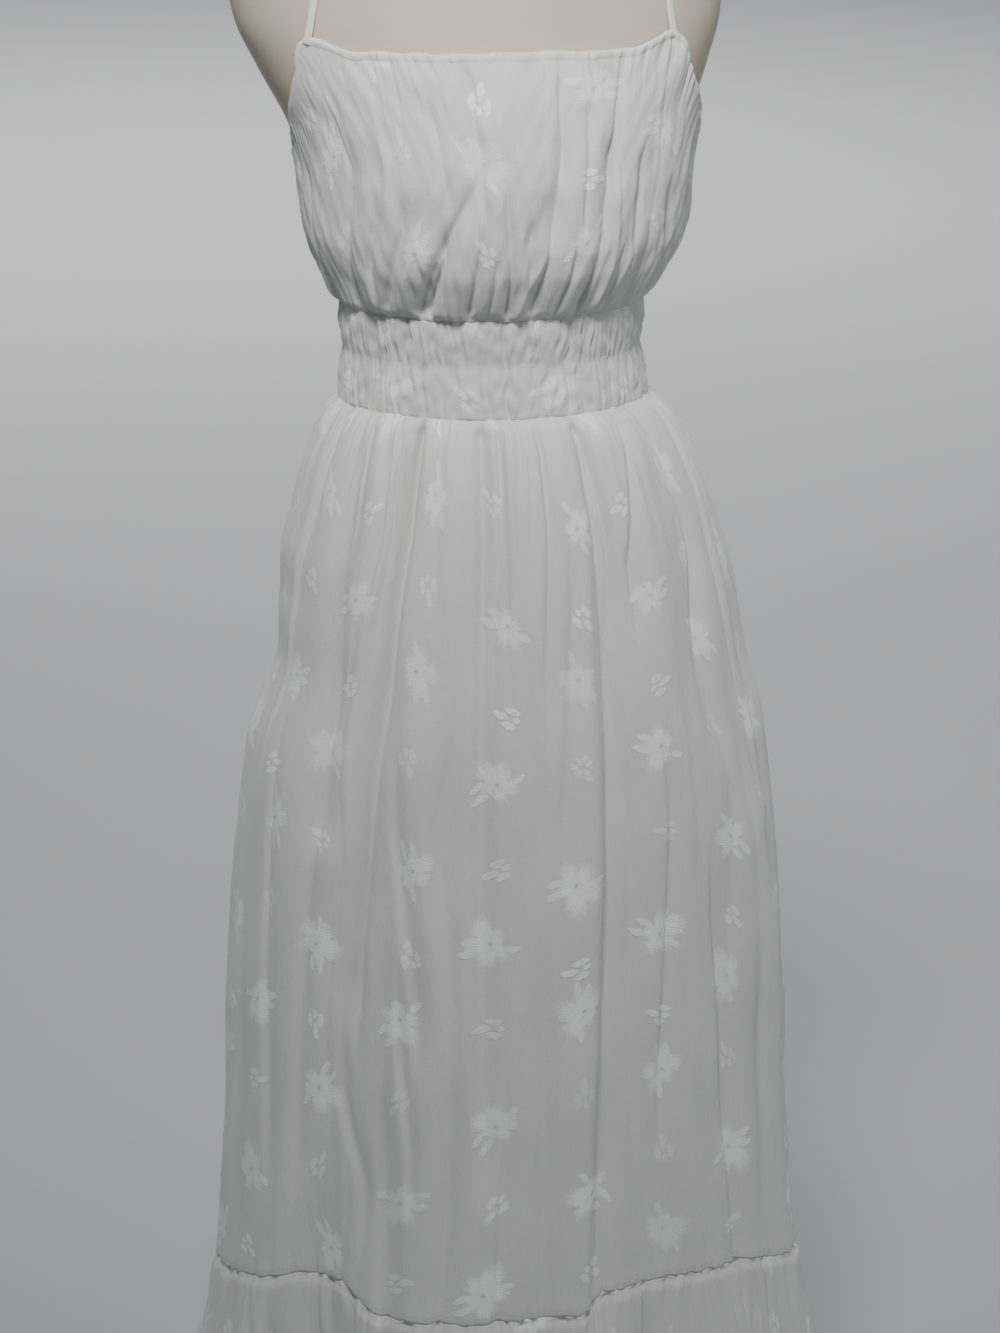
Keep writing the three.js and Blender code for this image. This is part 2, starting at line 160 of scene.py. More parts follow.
BODICE_FOLDS = table(
    FOLD,
    (1200, 1100, -10, -30, 4, 5, 4, 7), (1260, 1100, -9, -13, 3, 3, 3, 5),
    (1180, 1096, -3, 0, 2.5, 3, 3, 6), (1260, 1110, 15, 10, 4, 3, 3, 6),
    (1255, 1100, 30, 29, 4, 4, 3, 5), (1200, 1104, -52, -62, 5, 5, 3, 5),
    (1190, 1100, 44, 48, 5, 4, 3, 5), (1190, 1100, 118, 120, 5, 5, 2, 5),
    (1190, 1100, 146, 142, 4, 5, 2, 5), (1190, 1100, 172, 175, 4, 4, 2, 5),
    (1190, 1100, 203, 200, 5, 4, 2, 5), (1190, 1100, 236, 240, 5, 5, 2, 5),
)
BODICE_CREASES = table(
    FOLD,
    # front
    (1200, 1102, -10, -32, 1.0, 3.2, 2, 10), (1266, 1190, -9, -9, 0.8, 1.6, 4, 3),
    (1166, 1098, -8, -14, 0.8, 1.8, 4, 8), (1140, 1102, -21, -29, 0.8, 2.4, 6, 8),
    (1180, 1098, -2, 0, 0.8, 1.8, 5, 8), (1152, 1120, 5, 6, 1.8, 1.6, 8, 7),
    (1266, 1215, 14, 15, 0.8, 1.6, 3, 5), (1220, 1106, 15, 9, 2.2, 1.0, 6, 6),
    (1266, 1205, 31, 30, 0.8, 1.4, 4, 5), (1208, 1098, 30, 27, 2.4, 0.8, 7, 8),
    (1200, 1158, 41, 40, 1.6, 1.4, 5, 5), (1200, 1108, -50, -61, 1.0, 3, 5, 6),
    (1168, 1128, -42, -48, 1.0, 2.0, 5, 5), (1162, 1104, -33, -44, 1.2, 2.6, 6, 7),
    (1142, 1104, 10, 4, 1.4, 1.4, -4, -4), (1212, 1106, 31, 33, 1.0, 1.0, -3, -3),
    (1170, 1104, 54, 60, 1.0, 2.6, 5, 6), (1240, 1190, -36, -37, 1.2, 1.2, -2, -2),
    (1130, 1096, -5, -7, 0.8, 1.2, 5, 6), (1128, 1096, 19, 17, 0.9, 1.4, 5, 6),
    (1134, 1096, 36, 38, 0.9, 1.6, 5, 6), (1236, 1180, 22, 21, 0.8, 1.4, 3, 4),
    (1244, 1190, -20, -19, 0.9, 1.4, 3, 3), (1236, 1180, 2, 1, 0.8, 1.4, 2, 3),
    (1190, 1110, 70, 72, 1.0, 2.4, 4, 5), (1180, 1106, -74, -78, 1.2, 2.4, 4, 5),
    # back
    (1184, 1104, 128, 126, 0.9, 2.2, 4, 6), (1192, 1100, 158, 161, 0.8, 1.8, 4, 7),
    (1174, 1100, 187, 184, 1.8, 0.8, 4, 6), (1192, 1100, 219, 222, 0.9, 2, 4, 6),
    (1174, 1100, 251, 249, 0.9, 2, 4, 6), (1174, 1106, 104, 101, 0.9, 2, 4, 5),
    (1150, 1098, 143, 140, 0.8, 1.6, 4, 7), (1146, 1098, 172, 175, 0.8, 1.6, 4, 7),
    (1150, 1098, 204, 202, 1.6, 0.8, 4, 7), (1146, 1098, 236, 238, 0.8, 1.6, 4, 6),
)
# How far the seam over the flounce rises above its lowest line, round the skirt.
SEAM_RISE = table(
    "angle rise",
    (-180, 6), (-150, 12), (-128, 16), (-104, 8), (-88, 14), (-72, 20), (-56, 32), (-40, 40),
    (-33, 26), (-27, 15), (-15, 17), (2, 17), (10, 17), (17, 28), (32, 31), (46, 30), (60, 20),
    (78, 10), (98, 12), (112, 16), (134, 16), (156, 5), (180, 6),
)
# Over how many millimetres the ends of a fold fade.
FOLD_FADE = 50.0
CREASE_FADE = 28.0
LONG_FADE = 80.0

# Gathers along the seams: their depth, how many go round, and the distances from the seam over which they
# fade, where they start and where they are full. Patchy ones come and go round the dress.
GATHER = "depth count seed sharp fade start full patchy"
ALWAYS = np.inf
BODICE_WAIST_GATHERS = table(GATHER, (2.8, 120, 1, 2, 26, -1, 0, 1), (3.4, 66, 2, 2, 48, -1, 0, 1))
BODICE_NECK_GATHERS = table(GATHER, (1.7, 140, 3, 2, 26, -1, 0, 0), (2.4, 60, 4, 1.6, 70, -1, 0, 1))
BAND_LOW_GATHERS = table(GATHER, (2.4, 104, 21, 1.4, ALWAYS, -1, 0, 0), (2.2, 47, 22, 2, ALWAYS, -1, 0, 0))
BAND_TOP_GATHERS = table(GATHER, (2.4, 110, 23, 1.4, ALWAYS, -1, 0, 0), (2.2, 43, 24, 2, ALWAYS, -1, 0, 0))
SKIRT_GATHERS = table(
    GATHER,
    (3.4, 130, 52, 2, 24, 0, 5, 1), (6.4, 68, 53, 2, 60, 0, 12, 1),
    (8.0, 35, 54, 1.6, 300, 0, 40, 1), (10.0, 21, 55, 2, ALWAYS, 60, 420, 1),
)
FLOUNCE_GATHERS = table(
    GATHER,
    (3.6, 150, 63, 2, 20, 0, 4, 0), (9.0, 78, 64, 2, 75, 1.5, 6, 1),
    (12.0, 44, 65, 1.4, ALWAYS, 0, 110, 0),
)
# Soft unevenness. Finer is how many times closer its waves are round the dress.
RIPPLE = "size finer seed length"
TOP_EDGE_RIPPLES = table(RIPPLE, (1.1, 1, 5, 50), (0.5, 2, 6, 50))
BODICE_RIPPLES = table(RIPPLE, (1.1, 1, 8, 45), (0.5, 3, 9, 26))
BAND_RIPPLES = table(RIPPLE, (0.9, 2, 25, 16), (0.6, 4, 26, 10))


def curve(rows, name, at, along="height"):
    """A smooth curve through a table's rows that never runs past their values."""
    x, y = rows[along], rows[name]
    step = np.diff(y) / np.diff(x)
    product = step[:-1] * step[1:]
    slope = np.zeros(len(x))
    total = np.where(product > 0, step[:-1] + step[1:], 1)
    slope[1:-1] = np.where(product > 0, 2 * product / total, 0)
    i = np.clip(np.searchsorted(x, at, side="right") - 1, 0, len(x) - 2)
    span = x[i + 1] - x[i]
    t = np.clip((at - x[i]) / span, 0, 1)
    lean = slope[i] * t * (1 - t) ** 2 - slope[i + 1] * t * t * (1 - t)
    return y[i] + (y[i + 1] - y[i]) * t * t * (3 - 2 * t) + span * lean


def smooth(value, low, high):
    """A smooth step from 0 at low to 1 at high."""
    t = np.clip((value - low) / (high - low), 0, 1)
    return t * t * (3 - 2 * t)


def wrapped(degrees):
    """The same angle between -180 and 180."""
    return (degrees + ALL_ROUND / 2) % ALL_ROUND - ALL_ROUND / 2


def section_point(shape, degrees, height, inset):
    """Points of a section at an angle and height, drawn in by inset, all in millimetres."""
    angle = np.radians(degrees)
    depth = np.where(np.cos(angle) > 0, curve(shape, "front", height), curve(shape, "back", height))
    x = curve(shape, "centre", height) + (curve(shape, "half_width", height) - inset) * np.sin(angle)
    y = -(depth - inset) * np.cos(angle)
    return np.stack([x, y, height + 0 * x], axis=-1)


def clear_of_form(points, gap):
    """Moves points out, level, until they are at least this far outside the dress form."""
    x, y, height = points[..., 0], points[..., 1], points[..., 2]
    depth = np.where(y < 0, curve(FORM, "front", height), curve(FORM, "back", height))
    centre, half = curve(FORM, "centre", height), curve(FORM, "half_width", height)
    reach = np.sqrt(((x - centre) / half) ** 2 + (y / depth) ** 2)
    push = np.maximum(1, (1 + gap / depth) / reach)
    return np.stack([centre + (x - centre) * push, y * push, height], axis=-1)


def fold_depth(folds, degrees, height, fade=FOLD_FADE, power=2.0):
    """How far a table of folds draws the cloth in."""
    depth = np.zeros(np.broadcast(degrees, height).shape)
    for row in zip(*folds.values()):
        top, low, top_angle, low_angle, left, right, top_depth, low_depth = row
        share = np.clip((top - height) / (top - low), 0, 1)
        off = wrapped(degrees - top_angle - (low_angle - top_angle) * share)
        width = np.where(off < 0, left, right)
        ends = smooth(top + fade - height, 0, fade) * smooth(height - low + fade, 0, fade)
        deep = top_depth + (low_depth - top_depth) * share
        depth += deep * ends * np.exp(-np.abs(off / width) ** power)
    return depth


def gathers(degrees, count, seed, sharp=2.0):
    """Uneven narrow valleys all round, from 0 between them to at most 1 in them."""
    random = np.random.default_rng(seed)
    gaps = random.uniform(0.35, 1.65, count)
    places = np.concatenate([[0], np.cumsum(gaps)]) * ALL_ROUND / gaps.sum()
    depths = random.uniform(0.1, 1.0, count + 1)
    depths[-1] = depths[0]
    phase = np.interp(degrees % ALL_ROUND, places, np.arange(count + 1))
    valley = (0.5 + 0.5 * np.cos(2 * np.pi * phase)) ** sharp
    return np.interp(phase, np.arange(count + 1), depths) * valley


def ripple(degrees, height, seed, length):
    """A soft unevenness between -1 and 1, with waves of about this length in millimetres."""
    random = np.random.default_rng(seed)
    total = 0
    for _ in range(7):
        turns = random.integers(3, 26)
        rise = random.uniform(-1, 1) * 2 * np.pi / length
        total = total + np.sin(np.radians(degrees) * turns + height * rise + random.uniform(0, 6.28))
    return total / 4


def gathered(rows, degrees, away, patch):
    """How far a table of gathers draws the cloth in, at a distance from their seam."""
    inset = 0.0
    for depth, count, seed, sharp, fade, start, full, patchy in zip(*rows.values()):
        strength = depth * np.exp(-away / fade) * smooth(away, start, full) * (1 + (patch - 1) * patchy)
        inset = inset + strength * gathers(degrees, int(count), int(seed), sharp)
    return inset


def rippled(rows, degrees, height):
    """The sum of a table's ripples, in millimetres."""
    total = 0.0
    for size, finer, seed, length in zip(*rows.values()):
        total = total + size * ripple(degrees * finer, height, int(seed), length)
    return total


# ---- cloth surfaces
# All in millimetres, apart from the shares and the angle.
SIDE_SEAM_GAP = 0.05  # from the middle plane to each panel
SIDE_SEAM_DEPTH, SIDE_SEAM_ANGLE = 1.3, 0.8
FORM_GAP = 2.6  # the least between the form and the bodice's outer face
BODICE_LOW = WAIST_TOP + 0.3
BLOUSE_DROOP, BLOUSE_HEIGHT = 3.6, 9
BINDING_HEIGHT, BINDING_HALF = 6.5, 1.2
BINDING_OUTSIDE, BINDING_INSIDE = 0.4, 0.6  # shares where it turns over the neck edge
BAND_LOW = WAIST_LOW - 1.8
BAND_MIDDLE, BAND_BLEND = 0.52, 0.07  # share of the middle channel, and round it
PUFF = 2.6
TUCK = 2.0  # how far one piece reaches under the next at a seam
UNDER_BAND, UNDER_SKIRT = 4.6, 2.6
RUFFLE_LIFT = 3.2
RUFFLE_SPREAD = 4.0
HEM_TURN = 16


def bump_at(distance, width):
    """A soft hump, 1 at no distance and gone a few widths away."""
    return np.exp(-((distance / width) ** 2))


def side_seam(degrees):
    """A shallow groove down each side seam."""
    return SIDE_SEAM_DEPTH * bump_at(90 - np.abs(wrapped(degrees)), SIDE_SEAM_ANGLE)


def top_edge(degrees):
    """The height of the bodice's upper edge, with the small waves of its gathering."""
    turn = np.abs(wrapped(degrees))
    return curve(TOP_EDGE, "height", turn, along="angle") + rippled(TOP_EDGE_RIPPLES, degrees, 0) + 1


def bodice_point(degrees, share):
    """Gathered to the neck edge and the waist, and bloused over the waistband."""
    edge = top_edge(degrees)
    height = BODICE_LOW + (edge - BODICE_LOW) * share
    above, below = height - BODICE_LOW, edge - height
    patch = 0.65 + 0.35 * ripple(degrees, height * 0.3, 30, 200)
    wander = degrees + 1.4 * ripple(degrees, height, 31, 90)
    inset = 0.7 * fold_depth(BODICE_FOLDS, degrees, height)
    inset += 0.8 * fold_depth(BODICE_CREASES, degrees, height, CREASE_FADE, 1.5)
    inset += gathered(BODICE_WAIST_GATHERS, wander, above, patch)
    inset += gathered(BODICE_NECK_GATHERS, wander, below, patch)
    inset += rippled(BODICE_RIPPLES, degrees, height)
    inset = inset * smooth(above, 0, 14) + side_seam(degrees)
    droop = BLOUSE_DROOP + 2.4 * ripple(degrees, 0, 12, 80) + 1.6 * gathers(wander, 66, 2)
    point = section_point(BODICE, degrees, height, inset)
    point[..., 2] -= droop * bump_at(above - BLOUSE_HEIGHT, BLOUSE_HEIGHT)
    return clear_of_form(point, FORM_GAP)


def binding_point(degrees, share):
    """The bound edge: up the outside of the neck edge, over it, and down the inside."""
    edge = top_edge(degrees)
    over = np.clip((share - BINDING_OUTSIDE) / (BINDING_INSIDE - BINDING_OUTSIDE), 0, 1) * np.pi
    outside, inside = share < BINDING_OUTSIDE, share > BINDING_INSIDE
    inner_side = (share - BINDING_INSIDE) / (1 - BINDING_INSIDE)
    down = np.where(outside, 1 - share / BINDING_OUTSIDE, np.where(inside, inner_side, 0))
    height = edge - down * BINDING_HEIGHT
    body = bodice_point(degrees, (height - BODICE_LOW) / (edge - BODICE_LOW))
    half = BINDING_HALF + 0.2 * ripple(degrees * 2, 0, 14, 40) - 0.15 * gathers(degrees, 170, 9, 1.2)
    lift = np.where(outside, half * (1 - 0.9 * down**3), np.where(inside, -half, half * np.cos(over))) - 0.4
    angle = np.radians(degrees)
    body[..., 0] += lift * np.sin(angle)
    body[..., 1] -= lift * np.cos(angle)
    body[..., 2] += half * np.sin(over) * ~(outside | inside)
    return body


def waistband_point(degrees, share):
    """Elastic shirring: two puffed rows between three stitched channels."""
    height = BAND_LOW + (WAIST_TOP - BAND_LOW) * share
    middle = BAND_MIDDLE + 0.015 * ripple(degrees, 0, 40, 50)
    across_row = np.where(share < middle, share / middle, (1 - share) / (1 - middle))
    row = np.abs(np.sin(across_row * np.pi)) ** 0.55
    wander = degrees + 1.5 * ripple(degrees, height, 41, 30)
    lower = gathered(BAND_LOW_GATHERS, wander, 0 * share, 1)
    upper = gathered(BAND_TOP_GATHERS, wander, 0 * share, 1)
    pucker = lower + (upper - lower) * smooth(share, middle - BAND_BLEND, middle + BAND_BLEND)
    crumple = 0.8 * rippled(BAND_RIPPLES, degrees, height) * row
    ends = 1.2 * np.exp(-(WAIST_TOP - height) / 1.5) - 1.8 * np.exp(-(height - BAND_LOW) / 7)
    inset = pucker * (0.25 + 0.75 * row) - PUFF * row + crumple + 0.4 + ends
    return section_point(WAISTBAND, degrees, height, inset + side_seam(degrees))


def skirt_inset(degrees, height):
    """Every fold, crease and gather of the skirt and of the flounce below it."""
    below = WAIST_LOW - height
    patch = 0.6 + 0.4 * ripple(degrees, height * 0.3, 50, 260)
    wander = degrees + 1.8 * ripple(degrees, height, 51, 160)
    inset = fold_depth(SKIRT_FOLDS, degrees, height) * smooth(below, 0, 60)
    inset += fold_depth(SKIRT_CREASES, degrees, height, LONG_FADE, 1.5) * smooth(below, 0, 16)
    inset += gathered(SKIRT_GATHERS, wander, below, patch)
    return inset + 1.3 * ripple(degrees, height, 56, 130) + side_seam(degrees)


def tier_seam(degrees):
    """The height of the seam between skirt and flounce."""
    rise = curve(SEAM_RISE, "rise", wrapped(degrees), along="angle")
    return TIER_SEAM + rise + 1.8 * gathers(degrees, 78, 64) + 2.0 * ripple(degrees, 0, 60, 90)


def skirt_point(degrees, share):
    """Gathered under the waistband and falling in uneven folds."""
    low = tier_seam(degrees)
    height = low + (WAIST_LOW + TUCK - low) * share
    above = height - low
    under_band = UNDER_BAND * smooth(height, WAIST_LOW - 1, WAIST_LOW + 1)
    roll = 0.35 * bump_at(above, 1.6) - 0.3 * bump_at(above - 8, 6)
    pucker = 2.4 * gathers(degrees, 96, 57) * np.exp(-above / 16)
    return section_point(SKIRT, degrees, height, skirt_inset(degrees, height) + under_band + roll + pucker)


def flounce_point(degrees, share):
    """A ruffle gathered to the skirt, fuller towards its hem."""
    top = tier_seam(degrees) + TUCK
    lift = 4.0 * ripple(degrees, 0, 61, 90)
    height = HEM + (top - HEM) * share + lift * (1 - share) ** 2
    below = top - height
    patch = 0.6 + 0.4 * ripple(degrees, 0, 67, 200)
    wander = degrees + 1.4 * ripple(degrees, height, 62, 90)
    full = smooth(below, 0, 110)
    inset = skirt_inset(degrees, height) + UNDER_SKIRT * smooth(below, 2.6, 0.9)
    inset -= RUFFLE_LIFT * smooth(below, 1.6, 12) * (1 - 0.6 * full)
    inset += gathered(FLOUNCE_GATHERS, wander, below, patch)
    inset += (6.0 * ripple(degrees, height, 66, 300) - RUFFLE_SPREAD) * full
    inset += 0.9 * bump_at(height - HEM - lift - HEM_TURN, 2.2)
    return section_point(SKIRT, degrees, height, inset)


# ---- mesh making
ROW_EASE = 0.7  # how much closer a panel's rows are near its seams
BACK_MAP_START = 2.3  # how far the back panels' map lies from the front ones'
MERGE_DISTANCE = 1e-6
TURN_STEPS = 96
SHARP_TURN = 0.5  # radians, from which a turned edge is eased
STITCH_SAMPLES = 2000
STITCH_LENGTH = 0.36  # half length, as a share of the pitch
STITCH_RADIUS, STITCH_LIFT = 0.00028, 0.0001


def new_object(name, bm):
    """A smooth shaded object in the scene from a bmesh, which is freed."""
    mesh = bpy.data.meshes.new(name)
    for face in bm.faces:
        face.smooth = True
    bm.to_mesh(mesh)
    bm.free()
    piece = bpy.data.objects.new(name, mesh)
    bpy.context.scene.collection.objects.link(piece)
    return piece


def shaped_grid(surface, columns, rows, ease=0.0):
    """A grid moved to a surface of two shares, with closer rows at both ends, and its shares."""
    bm = bmesh.new()
    bm.loops.layers.uv.new("cloth")
    bmesh.ops.create_grid(bm, x_segments=columns, y_segments=rows, size=0.5, calc_uvs=True)
    shares = np.array([vert.co[:2] for vert in bm.verts]) + 0.5
    shares[:, 1] -= ease * np.sin(2 * np.pi * shares[:, 1]) / (2 * np.pi)
    for vert, point in zip(bm.verts, surface(*shares.T) * MM):
        vert.co = point
    return bm, shares


def cloth_panel(name, surface, front, cells, thickness, flat, origin=0.0):
    """Half of the dress from one side seam to the other, as a thin shell mapped in flat metres."""
    first, last, seam = (-90, 90, -1) if front else (90, 270, 1)

    def panel(u, v):
        points = surface(first + (last - first) * u, v)
        points[..., 1] += seam * SIDE_SEAM_GAP
        return points

    bm, shares = shaped_grid(panel, *cells, ROW_EASE)
    piece = new_object(name, bm)
    corners = np.empty(len(piece.data.loops), int)
    piece.data.loops.foreach_get("vertex_index", corners)
    where = shares[corners] * flat + (origin if front else origin + BACK_MAP_START)
    piece.data.uv_layers["cloth"].data.foreach_set("uv", where.ravel())
    shell = piece.modifiers.new("shell", "SOLIDIFY")
    shell.thickness = thickness
    shell.offset = -1
    return piece


def closed_tube(name, surface, around, along):
    """A tube that closes on itself round the first share, with its ends filled."""
    bm, _ = shaped_grid(surface, around, along)
    bmesh.ops.remove_doubles(bm, verts=bm.verts, dist=MERGE_DISTANCE)
    bmesh.ops.holes_fill(bm, edges=[edge for edge in bm.edges if edge.is_boundary], sides=0)
    bmesh.ops.recalc_face_normals(bm, faces=bm.faces)
    return new_object(name, bm)


def turned_piece(name, profile, bevel):
    """A turned piece from a profile of radius and height in millimetres, with eased edges."""
    bm = bmesh.new()
    verts = [bm.verts.new((radius * MM, 0, height * MM)) for radius, height in profile]
    edges = [bm.edges.new(pair) for pair in zip(verts, verts[1:])]
    bmesh.ops.spin(
        bm, geom=verts + edges, axis=(0, 0, 1), angle=2 * math.pi, steps=TURN_STEPS, use_merge=True
    )
    bmesh.ops.remove_doubles(bm, verts=bm.verts, dist=MERGE_DISTANCE)
    bmesh.ops.recalc_face_normals(bm, faces=bm.faces)
    sharp = [edge for edge in bm.edges if edge.calc_face_angle(0) > SHARP_TURN]
    bmesh.ops.bevel(
        bm, geom=sharp, offset=bevel * MM, segments=3, profile=0.5, affect="EDGES", clamp_overlap=True
    )
    return new_object(name, bm)


def stitch_line(name, surface, share, pitch):
    """A ring of small raised stitches along a level line of a cloth surface."""
    degrees = np.linspace(0, ALL_ROUND, STITCH_SAMPLES, endpoint=False)
    line = surface(degrees, np.full(degrees.shape, share)) * MM
    run = np.cumsum(np.linalg.norm(np.diff(line, axis=0, append=line[:1]), axis=1))
    starts = np.searchsorted(run, np.arange(pitch, run[-1], pitch))
    stitch = bmesh.new()
    bmesh.ops.create_uvsphere(stitch, u_segments=6, v_segments=4, radius=1.0)
    pattern = bpy.data.meshes.new("stitch")
    stitch.to_mesh(pattern)
    stitch.free()
    bm = bmesh.new()
    for i in starts:
        along = Vector(line[(i + 3) % len(line)] - line[i - 3]).normalized()
        angle = math.radians(degrees[i])
        out = Vector((math.sin(angle), -math.cos(angle), 0))
        up = out.cross(along).normalized()
        turn = Matrix((along, up, along.cross(up))).transposed().to_4x4()
        size = Matrix.Diagonal((pitch * STITCH_LENGTH, STITCH_RADIUS, STITCH_RADIUS, 1))
        place = Matrix.Translation(Vector(line[i]) + out * STITCH_LIFT) @ turn @ size
        pattern.transform(place)
        bm.from_mesh(pattern)
        pattern.transform(place.inverted())
    bpy.data.meshes.remove(pattern)
    return new_object(name, bm)


def finish_piece(piece, slot, material, *nodes):
    """Gives a piece its material, attaches it to the root body and hides the CAD parts that it stands for.
    """
    piece.data.materials.clear()
    piece.data.materials.append(material)
    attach(piece, "root")
    if nodes:
        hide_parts(*nodes)
    return piece


# ---- straps
# Angles of its ends, and the height in millimetres of the line that its path turns round.
STRAP_ANGLE, STRAP_BACK_ANGLE = 47, 140
STRAP_PIVOT = 1285.0
STRAP_STEPS, STRAP_SIDES = 160, 20
STRAP_TUCK = 4  # how far its ends reach below the bodice's edge
STRAP_LIFT, STRAP_END_LIFT = 1.3, 2.2  # of its middle line from the form, and more at its ends
STRAP_ENDS = 7  # its ends are this part of its length, as 1 / STRAP_ENDS
FORM_SEARCH, FORM_HALVINGS = 200.0, 30


def form_level(point):
    """Below 1 inside the dress form, 1 on its surface and above 1 outside."""
    depth = curve(FORM, "front" if point[1] < 0 else "back", point[2])
    across = (point[0] - curve(FORM, "centre", point[2])) / curve(FORM, "half_width", point[2])
    return across * across + (point[1] / depth) ** 2


def form_surface(inside, direction):
    """Where a line from a point inside the form leaves it."""
    near, far = 0.0, FORM_SEARCH
    for _ in range(FORM_HALVINGS):
        middle = (near + far) / 2
        within = form_level(inside + direction * middle) < 1
        near, far = (middle, far) if within else (near, middle)
    return inside + direction * near


def form_normal(point):
    """The direction straight out of the form."""
    steps = np.eye(3)
    slope = np.array([form_level(point + step) - form_level(point - step) for step in steps])
    return slope / np.linalg.norm(slope)


def strap_path(side):
    """The middle line of a strap and its outward direction, from front edge to back edge."""
    front = bodice_point(np.array([side * STRAP_ANGLE]), np.array([1.0]))[0]
    back = bodice_point(np.array([side * STRAP_BACK_ANGLE]), np.array([1.0]))[0]
    start = math.atan2(front[2] - STRAP_TUCK - STRAP_PIVOT, -front[1])
    end = math.pi - math.atan2(back[2] - STRAP_TUCK - STRAP_PIVOT, back[1])
    places, normals = [], []
    for i in range(STRAP_STEPS + 1):
        share = i / STRAP_STEPS
        turn = start + (end - start) * share
        direction = np.array([0, -math.cos(turn), math.sin(turn)])
        inside = np.array([front[0] + (back[0] - front[0]) * share, 0, STRAP_PIVOT])
        on = form_surface(inside, direction)
        out = form_normal(on)
        near_end = max(1 - share * STRAP_ENDS, 1 - (1 - share) * STRAP_ENDS, 0)
        places.append(on + out * (STRAP_LIFT + STRAP_END_LIFT * near_end * near_end))
        normals.append(out)
    return np.array(places), np.array(normals)


def strap_piece(name, side, width, thickness):
    """A flat tape with rounded edges along a strap's path."""
    places, normals = strap_path(side)
    along = np.gradient(places, axis=0)
    along /= np.linalg.norm(along, axis=1, keepdims=True)
    across = np.cross(along, normals)
    across /= np.linalg.norm(across, axis=1, keepdims=True)
    out = np.cross(across, along)

    def surface(u, v):
        turn = 2 * np.pi * u
        i = np.round(v * STRAP_STEPS).astype(int)
        flat = np.sign(np.cos(turn)) * np.abs(np.cos(turn)) ** 0.6 * width / 2
        tall = np.sign(np.sin(turn)) * np.abs(np.sin(turn)) ** 0.8 * thickness / 2
        return places[i] + across[i] * flat[:, None] + out[i] * tall[:, None]

    return closed_tube(name, surface, STRAP_SIDES, STRAP_STEPS)


# ---- shader maths
def maths(operation):
    """A method of Value that adds one maths node."""

    def method(self, *others):
        return self.finish.value(
            "ShaderNodeMath", {"operation": operation}, dict(enumerate((self, *others)))
        )

    return method


class Value:
    """A number or colour socket whose operators add the nodes that work it out."""

    def __init__(self, finish, socket):
        self.finish = finish
        self.socket = socket

    __add__ = __radd__ = maths("ADD")
    __mul__ = __rmul__ = maths("MULTIPLY")
    __sub__ = maths("SUBTRACT")
    __truediv__ = maths("DIVIDE")
    __mod__ = maths("FLOORED_MODULO")
    __pow__ = maths("POWER")
    __abs__ = maths("ABSOLUTE")
    floor = maths("FLOOR")
    sin = maths("SINE")
    cos = maths("COSINE")
    angle_to = maths("ARCTAN2")
    larger = maths("MAXIMUM")

    def __rsub__(self, other):
        return self * -1 + other

    def step(self, low, high):
        """A smooth step from 0 at low to 1 at high."""
        inputs = {"Value": self, "From Min": low, "From Max": high, "To Min": 0.0, "To Max": 1.0}
        return self.finish.value("ShaderNodeMapRange", {"interpolation_type": "SMOOTHSTEP"}, inputs)


class Finish:
    """A material under construction: its nodes and its one surface shader."""

    def __init__(self, name):
        self.material = bpy.data.materials.new(name)
        self.material.use_nodes = True
        self.tree = self.material.node_tree
        self.shader = next(n for n in self.tree.nodes if n.type == "BSDF_PRINCIPLED")

    def node(self, kind, settings=None, inputs=None):
        """Adds a node: its settings first, then the value or link of each socket."""
        node = self.tree.nodes.new(kind)
        for key, value in (settings or {}).items():
            setattr(node, key, value)
        for key, value in (inputs or {}).items():
            self.join(value, node.inputs[key])
        return node

    def join(self, value, socket):
        if isinstance(value, Value):
            self.tree.links.new(value.socket, socket)
        else:
            socket.default_value = value

    def value(self, kind, settings=None, inputs=None, output=0):
        return Value(self, self.node(kind, settings, inputs).outputs[output])

    def place(self):
        return self.value("ShaderNodeTexCoord", output="Object")

    def uv(self):
        return self.value("ShaderNodeUVMap", {"uv_map": "cloth"})

    def split(self, vector):
        node = self.node("ShaderNodeSeparateXYZ", inputs={"Vector": vector})
        return [Value(self, out) for out in node.outputs]

    def vector(self, x=0.0, y=0.0, z=0.0):
        return self.value("ShaderNodeCombineXYZ", inputs={"X": x, "Y": y, "Z": z})

    def noise(self, at, scale, detail=2.0, roughness=0.5):
        inputs = {"Vector": at, "Scale": scale, "Detail": detail, "Roughness": roughness}
        return self.value("ShaderNodeTexNoise", None, inputs)

    def blend(self, factor, low, high):
        """Mixes two colours."""
        node = self.node("ShaderNodeMix", {"data_type": "RGBA"})
        for value, socket in zip((factor, low, high), (node.inputs[0], node.inputs[6], node.inputs[7])):
            self.join(value, socket)
        return Value(self, node.outputs[2])

    def bump(self, height, distance, strength):
        inputs = {"Height": height, "Distance": distance, "Strength": strength}
        return self.value("ShaderNodeBump", None, inputs)

    def surface(self, **sockets):
        for name, value in sockets.items():
            self.join(value, self.shader.inputs[name.replace("_", " ")])
        return self.material


def rgb(colour, share=1.0):
    """A colour for a socket, made darker or lighter by a share."""
    return (colour[0] * share, colour[1] * share, colour[2] * share, 1.0)


# ---- materials
# In metres on the flat cloth: the cells of the half-drop layout, how far a flower strays, and its size.
FLOWER_ACROSS, FLOWER_UP = 0.082, 0.148
STRAY_ACROSS, STRAY_UP = 0.022, 0.04
FLOWER_RADIUS = 0.0195
FLOWER_RAGGED, SPRIG_RAGGED = 0.016, 2.2
FULL_TURN = 6.283
